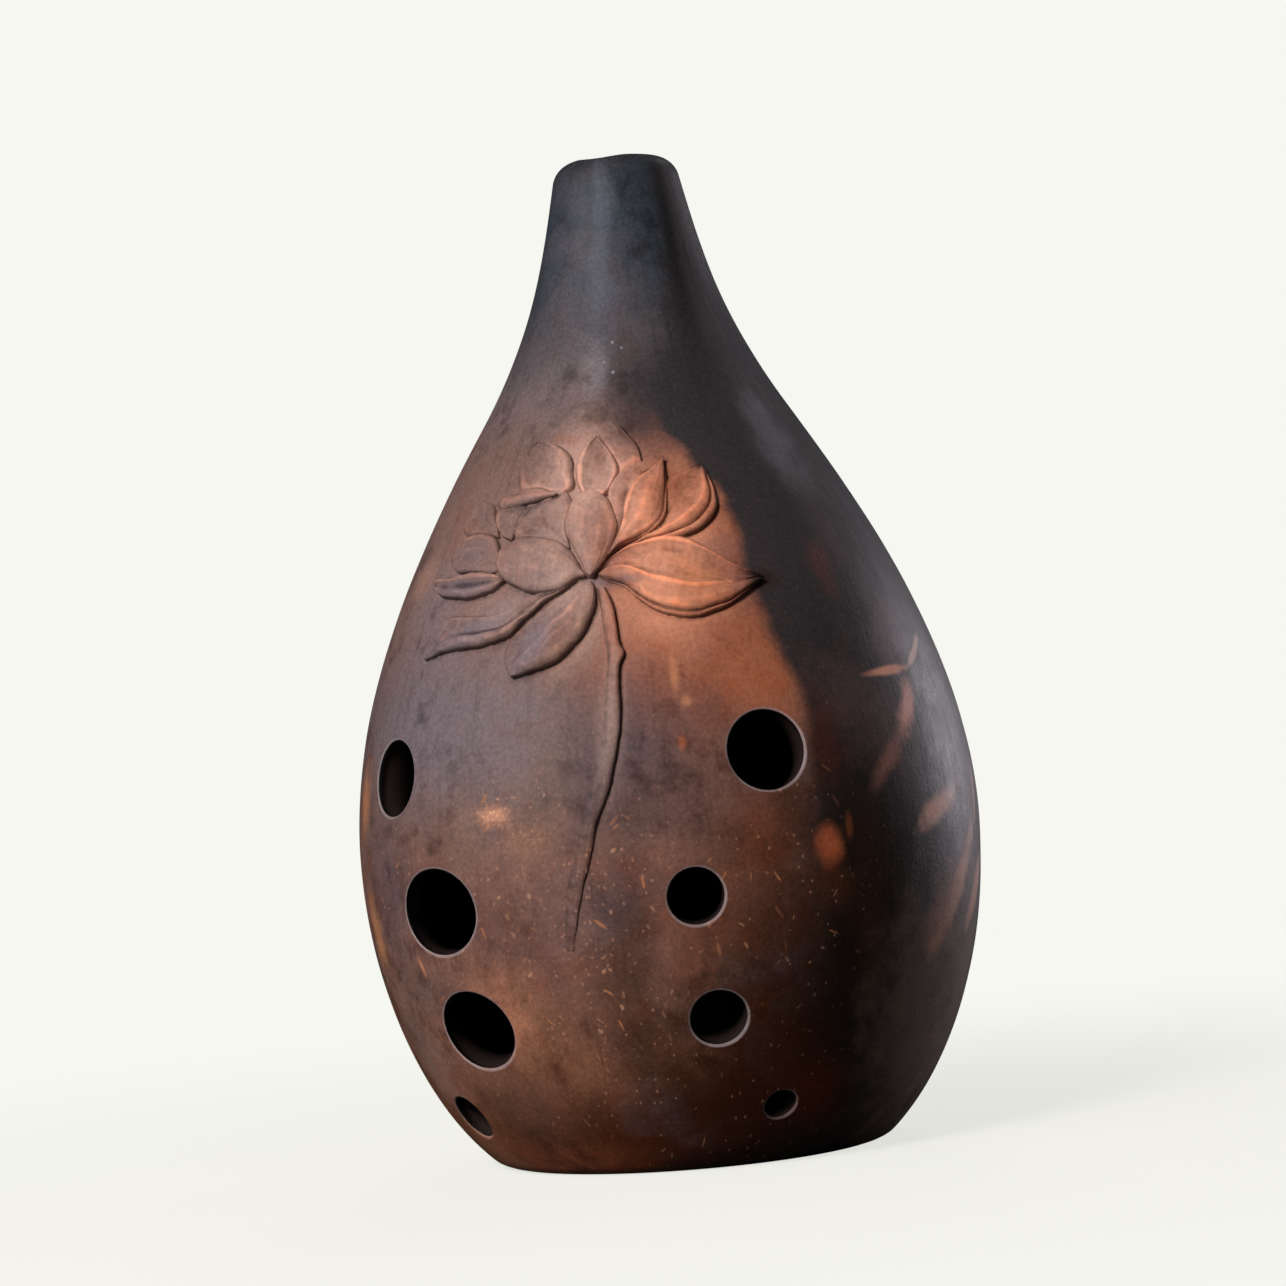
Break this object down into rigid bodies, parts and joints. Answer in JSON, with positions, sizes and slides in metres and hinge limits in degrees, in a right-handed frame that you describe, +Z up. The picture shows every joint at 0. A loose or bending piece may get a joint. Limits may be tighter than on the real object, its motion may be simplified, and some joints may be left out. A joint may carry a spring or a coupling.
{
  "type": "xun",
  "caption": "Pear-shaped vessel flute of smoke-fired clay with finger holes on the front, thumb holes behind, a blow hole at the top of the neck and a lotus relief.",
  "frame": {"origin": "centre of the flat foot, on the vessel's turning axis", "axes": "+Z up along the vessel's axis; the finger holes and the lotus face -Y, the thumb holes face +Y; +X is to the right of someone looking at the front"},
  "size_m": [0.0968, 0.0974, 0.155],
  "materials": {
    "front_clay": "burnished, mauve-brown with terracotta fire clouds",
    "back_clay": "burnished, smoke-black",
    "foot_clay": "smoothed, dark red-brown",
    "mouth_clay": "burnished, blue-grey smoke",
    "petal_clay": "modelled relief, matt terracotta",
    "stem_clay": "modelled relief, matt brown"
  },
  "bodies": {
    "root": {"base_disc": "foot_clay", "front_shell": "front_clay", "back_shell": "back_clay", "mouth_ring": "mouth_clay", "lotus_stem": "stem_clay", "centre_oval_petal": "petal_clay", "left_oval_petal": "petal_clay", "right_large_petal": "petal_clay", "lower_left_petal": "petal_clay", "long_left_petal": "petal_clay", "upper_right_petal": "petal_clay", "far_right_petal": "petal_clay", "curled_inner_petal": "petal_clay", "small_inner_petal": "petal_clay", "left_curled_petal": "petal_clay", "left_middle_petal": "petal_clay", "inner_back_petal": "petal_clay", "left_back_petal": "petal_clay", "back_centre_petal": "petal_clay", "upper_left_petal": "petal_clay", "back_folded_petal": "petal_clay"}
  },
  "joints": []
}
